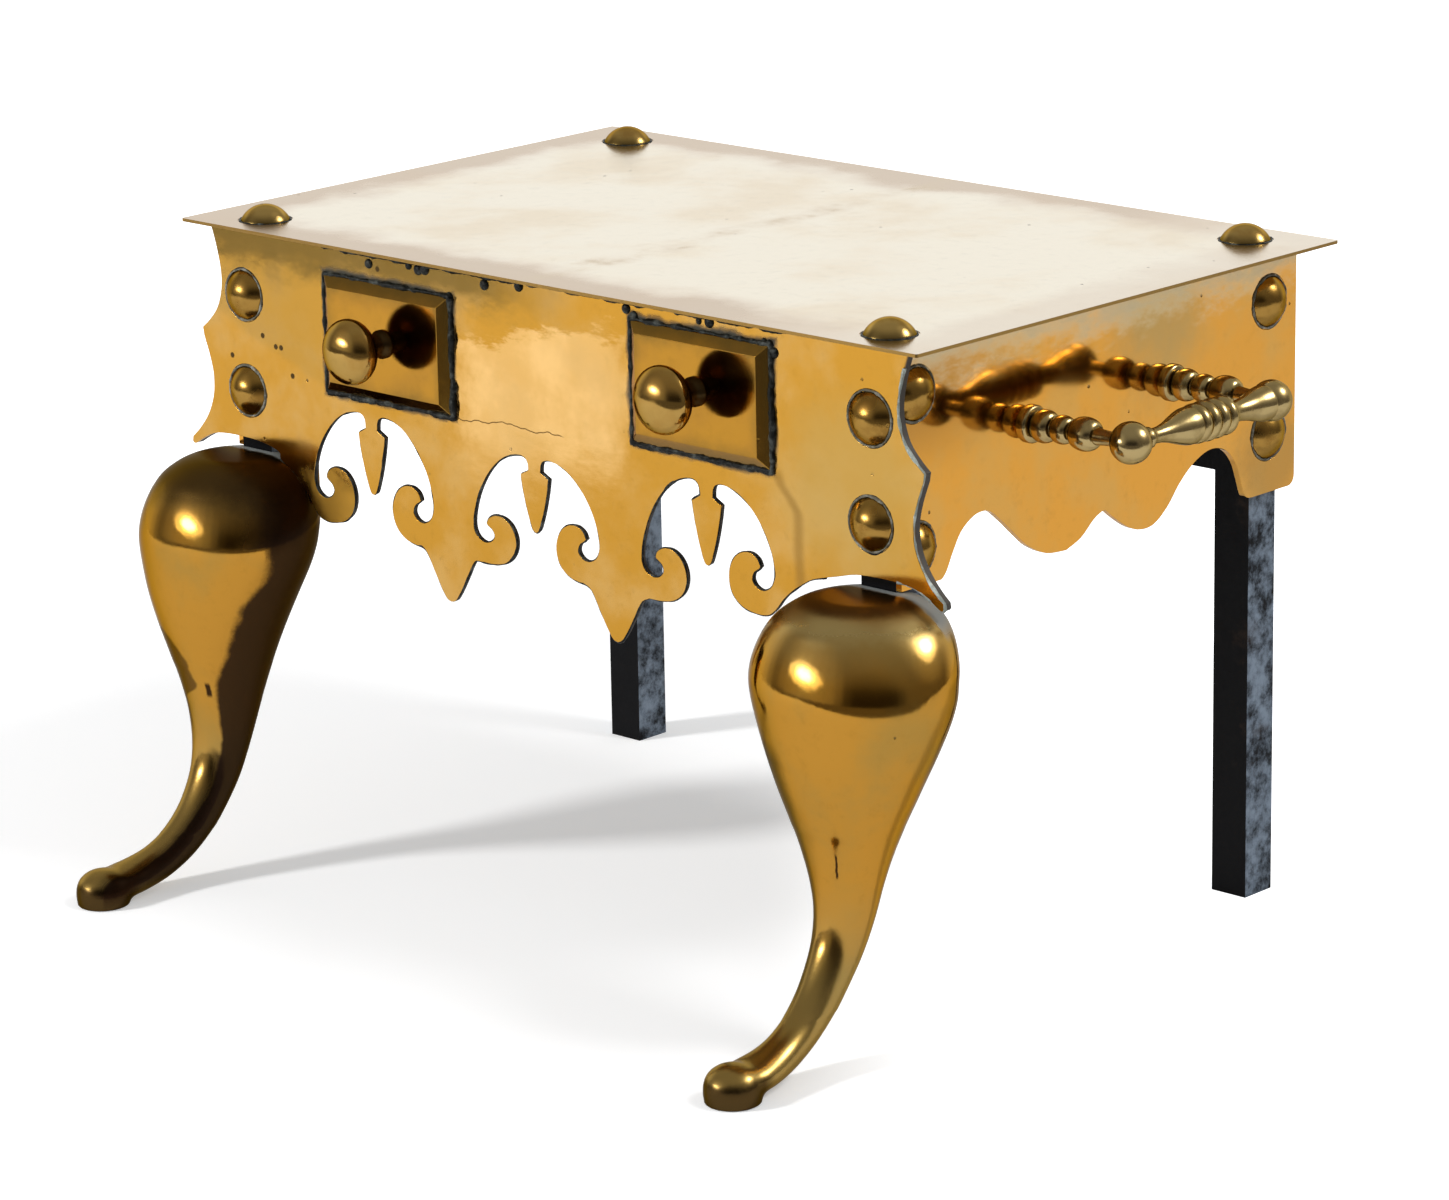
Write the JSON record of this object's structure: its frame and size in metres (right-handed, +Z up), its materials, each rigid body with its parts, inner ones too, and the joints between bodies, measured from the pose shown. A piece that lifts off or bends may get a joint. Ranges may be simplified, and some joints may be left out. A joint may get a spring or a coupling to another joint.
{
  "type": "footman trivet",
  "caption": "Hearth footman: a flat brass top on an iron frame with cast cabriole front legs, a pierced front apron with sham drawers, and a turned handle at each end.",
  "frame": {"origin": "on the floor, at the middle of the whole stand's length and depth", "axes": "+X along the front to the right as the stand faces you, +Y from the front legs to the rear legs, +Z up"},
  "size_m": [0.526, 0.3838, 0.3069],
  "materials": {
    "plate_brass": "worn polished sheet brass",
    "apron_brass": "worn polished brass with patches of tarnish",
    "drawer_brass": "worn polished brass, dark round the edges",
    "stud_brass": "polished brass, darkened by age",
    "cast_brass": "polished cast brass",
    "turned_brass": "polished turned brass",
    "frame_iron": "blackened wrought iron, slightly mottled",
    "fastener_iron": "dark iron"
  },
  "bodies": {
    "root": {"top_plate": "plate_brass", "front_apron": "apron_brass", "side_apron_left": "apron_brass", "side_apron_right": "apron_brass", "drawer_front_left": "drawer_brass", "drawer_front_right": "drawer_brass", "drawer_knob_left": "turned_brass", "drawer_knob_right": "turned_brass", "drawer_knob_nuts": "fastener_iron", "cabriole_leg_left": "cast_brass", "cabriole_leg_right": "cast_brass", "leg_screws": "fastener_iron", "front_post_left": "frame_iron", "front_post_right": "frame_iron", "rear_leg_left": "frame_iron", "rear_leg_right": "frame_iron", "front_rail": "frame_iron", "rear_rail": "frame_iron", "side_rail_left": "frame_iron", "side_rail_right": "frame_iron", "rear_cross_bar": "frame_iron", "top_studs": "stud_brass", "front_apron_studs": "stud_brass", "side_studs_left": "stud_brass", "side_studs_right": "stud_brass", "handle_arm_front_left": "turned_brass", "handle_arm_rear_left": "turned_brass", "handle_grip_left": "turned_brass", "handle_arm_front_right": "turned_brass", "handle_arm_rear_right": "turned_brass", "handle_grip_right": "turned_brass", "handle_collars_left": "turned_brass", "handle_collars_right": "turned_brass", "handle_nuts_left": "fastener_iron", "handle_nuts_right": "fastener_iron"}
  },
  "joints": []
}
